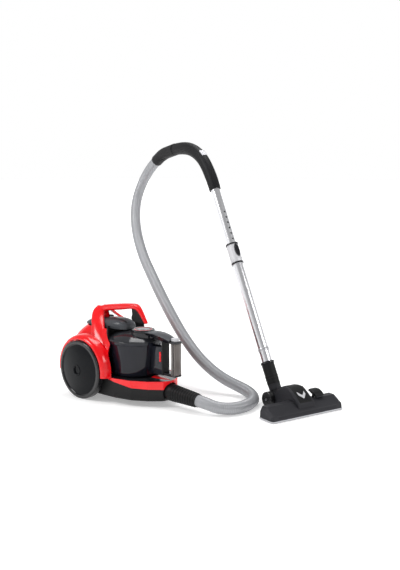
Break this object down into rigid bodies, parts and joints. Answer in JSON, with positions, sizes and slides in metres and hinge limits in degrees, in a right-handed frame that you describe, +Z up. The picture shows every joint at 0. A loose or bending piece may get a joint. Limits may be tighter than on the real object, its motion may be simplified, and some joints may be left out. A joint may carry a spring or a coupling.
{
  "type": "canister vacuum cleaner",
  "caption": "Canister vacuum cleaner with a removable dust cup, carry handle, corrugated hose, telescopic wand and wide floor nozzle.",
  "frame": {"origin": "on the floor, under the middle of the canister between its rear wheels and its nose", "axes": "+X along the canister from its rear wheels to its hose inlet, +Y to the canister's left, +Z up"},
  "size_m": [1.0337, 0.6091, 0.8401],
  "materials": {
    "red_gloss": "clear coated gloss",
    "black_satin": "fine satin texture",
    "black_gloss": "polished",
    "grey_light": "fine satin texture",
    "smoke_dark": "smoke tinted, polished",
    "smoke_brown": "smoke tinted, polished",
    "wheel_disc": "polished, slightly scuffed",
    "tyre_black": "smooth",
    "charcoal": "fine satin texture",
    "silver_paint": "metallic satin",
    "tube_chrome": "polished",
    "steel": "turned",
    "hose_grey": "ribbed, satin",
    "filter_foam": "open foam and pleats",
    "bristle": "dense bristle",
    "board_green": "lacquered board"
  },
  "bodies": {
    "canister": {"base_pan": "black_satin", "front_band": "red_gloss", "cup_cradle": "black_satin", "inlet_port": "black_gloss", "main_housing": "red_gloss", "rear_cover": "grey_light", "bay_liner": "black_satin", "wheel_arches": "red_gloss", "carry_handle": "red_gloss", "side_pillars": "red_gloss", "handle_insert": "black_satin", "motor_can": "steel", "motor_mounts": "tyre_black", "reel_axle": "steel", "control_board": "board_green", "exhaust_filter": "filter_foam", "cord_outlet": "black_gloss", "wheel_axles": "steel", "hose_cuff": "black_satin", "hose": "hose_grey", "handle_shell_left": "black_satin", "handle_shell_right": "black_satin", "hose_end_cuff": "black_satin", "upper_tube": "tube_chrome"},
    "dust_bin": {"dust_cup": "smoke_dark", "cup_lid": "smoke_dark", "cup_arm": "black_gloss", "cup_spine": "black_satin", "cup_grip": "smoke_brown", "cup_flap": "black_gloss", "cyclone_shroud": "charcoal", "cyclone_cone": "charcoal", "cup_filter": "filter_foam", "lid_seal": "tyre_black"},
    "dial": {"lid_dial": "black_gloss"},
    "bin_release": {"release_button": "silver_paint"},
    "power_key": {"power_button": "grey_light"},
    "rewind_key": {"rewind_button": "grey_light"},
    "door": {"exhaust_door": "black_satin"},
    "rotor": {"motor_rotor": "steel"},
    "reel": {"cord_reel": "charcoal"},
    "wheel_left": {"tyre_left": "tyre_black", "wheel_disc_left": "wheel_disc"},
    "wheel_right": {"tyre_right": "tyre_black", "wheel_disc_right": "wheel_disc"},
    "caster": {"caster_fork": "black_satin"},
    "caster_pair": {"caster_wheels": "charcoal"},
    "slider": {"suction_slider": "charcoal"},
    "lower_wand": {"lower_tube": "tube_chrome", "wand_collar": "silver_paint", "neck_tube": "black_satin"},
    "latch": {"latch_button": "black_gloss"},
    "swivel": {"elbow": "charcoal"},
    "nozzle": {"nozzle_top": "charcoal", "nozzle_axle": "steel", "sole_plate": "steel"},
    "roller_l": {"roller_left": "tyre_black"},
    "roller_r": {"roller_right": "tyre_black"},
    "brush": {"brush_strips": "bristle"},
    "rocker": {"pedal": "charcoal"}
  },
  "joints": [
    {"name": "wheel_left_spin", "type": "hinge", "parent": "canister", "child": "wheel_left", "pos_m": [-0.1, 0.125, 0.096], "axis": [0, 1, 0], "continuous": true},
    {"name": "wheel_right_spin", "type": "hinge", "parent": "canister", "child": "wheel_right", "pos_m": [-0.1, -0.125, 0.096], "axis": [0, 1, 0], "continuous": true},
    {"name": "caster_swivel", "type": "hinge", "parent": "canister", "child": "caster", "pos_m": [0.094, 0, 0.031], "axis": [0, 0, 1], "continuous": true},
    {"name": "caster_roll", "type": "hinge", "parent": "caster", "child": "caster_pair", "pos_m": [0.08, 0, 0.014], "axis": [0, 1, 0], "continuous": true},
    {"name": "bin_withdraw", "type": "slide", "parent": "canister", "child": "dust_bin", "axis": [0.9988, 0, 0.0499], "range_m": [0, 0.16]},
    {"name": "dial_turn", "type": "hinge", "parent": "dust_bin", "child": "dial", "pos_m": [0.06, 0, 0.236], "axis": [0, 0, 1], "range_deg": [0, 60]},
    {"name": "bin_release_press", "type": "slide", "parent": "dust_bin", "child": "bin_release", "axis": [0, 0, -1], "range_m": [0, 0.003], "stiffness_N_per_m": 700},
    {"name": "power_press", "type": "slide", "parent": "canister", "child": "power_key", "axis": [0, 0, -1], "range_m": [0, 0.003], "stiffness_N_per_m": 700},
    {"name": "rewind_press", "type": "slide", "parent": "canister", "child": "rewind_key", "axis": [0, 0, -1], "range_m": [0, 0.003], "stiffness_N_per_m": 700},
    {"name": "exhaust_door_open", "type": "hinge", "parent": "canister", "child": "door", "pos_m": [-0.208, 0, 0.1044], "axis": [0, -1, 0], "range_deg": [0, 90]},
    {"name": "motor_spin", "type": "hinge", "parent": "canister", "child": "rotor", "pos_m": [-0.13, -0.036, 0.112], "axis": [1, 0, 0], "continuous": true},
    {"name": "cord_reel_spin", "type": "hinge", "parent": "canister", "child": "reel", "pos_m": [-0.126, 0.052, 0.092], "axis": [0, 1, 0], "continuous": true},
    {"name": "suction_slide", "type": "slide", "parent": "canister", "child": "slider", "axis": [-0.8069, 0.2162, 0.5496], "range_m": [-0.005, 0.005]},
    {"name": "wand_telescope", "type": "slide", "parent": "canister", "child": "lower_wand", "axis": [-0.4653, 0.1247, 0.8763], "range_m": [0, 0.16]},
    {"name": "latch_press", "type": "slide", "parent": "lower_wand", "child": "latch", "axis": [-0.8464, 0.2268, -0.4818], "range_m": [0, 0.0018], "stiffness_N_per_m": 800},
    {"name": "neck_swivel", "type": "hinge", "parent": "lower_wand", "child": "swivel", "pos_m": [0.4031, 0.24206, 0.07445], "axis": [-0.4653, 0.1247, 0.8763], "range_deg": [-20, 40]},
    {"name": "nozzle_tilt", "type": "hinge", "parent": "swivel", "child": "nozzle", "pos_m": [0.42963, 0.23495, 0.0245], "axis": [0.2588, 0.9659, 0], "range_deg": [-30, 50]},
    {"name": "roller_left_spin", "type": "hinge", "parent": "nozzle", "child": "roller_l", "pos_m": [0.43946, 0.27166, 0.0245], "axis": [0.2588, 0.9659, 0], "continuous": true},
    {"name": "roller_right_spin", "type": "hinge", "parent": "nozzle", "child": "roller_r", "pos_m": [0.41979, 0.19825, 0.0245], "axis": [0.2588, 0.9659, 0], "continuous": true},
    {"name": "pedal_rock", "type": "hinge", "parent": "nozzle", "child": "rocker", "pos_m": [0.54868, 0.27552, 0.0475], "axis": [0.2588, 0.9659, 0], "range_deg": [-20, 0]},
    {"name": "brush_lift", "type": "slide", "parent": "nozzle", "child": "brush", "axis": [0, 0, 1], "range_m": [0, 0.004]}
  ],
  "couplings": [
    {"joint": "brush_lift", "follows": "pedal_rock", "m_per_rad": -0.01146}
  ]
}
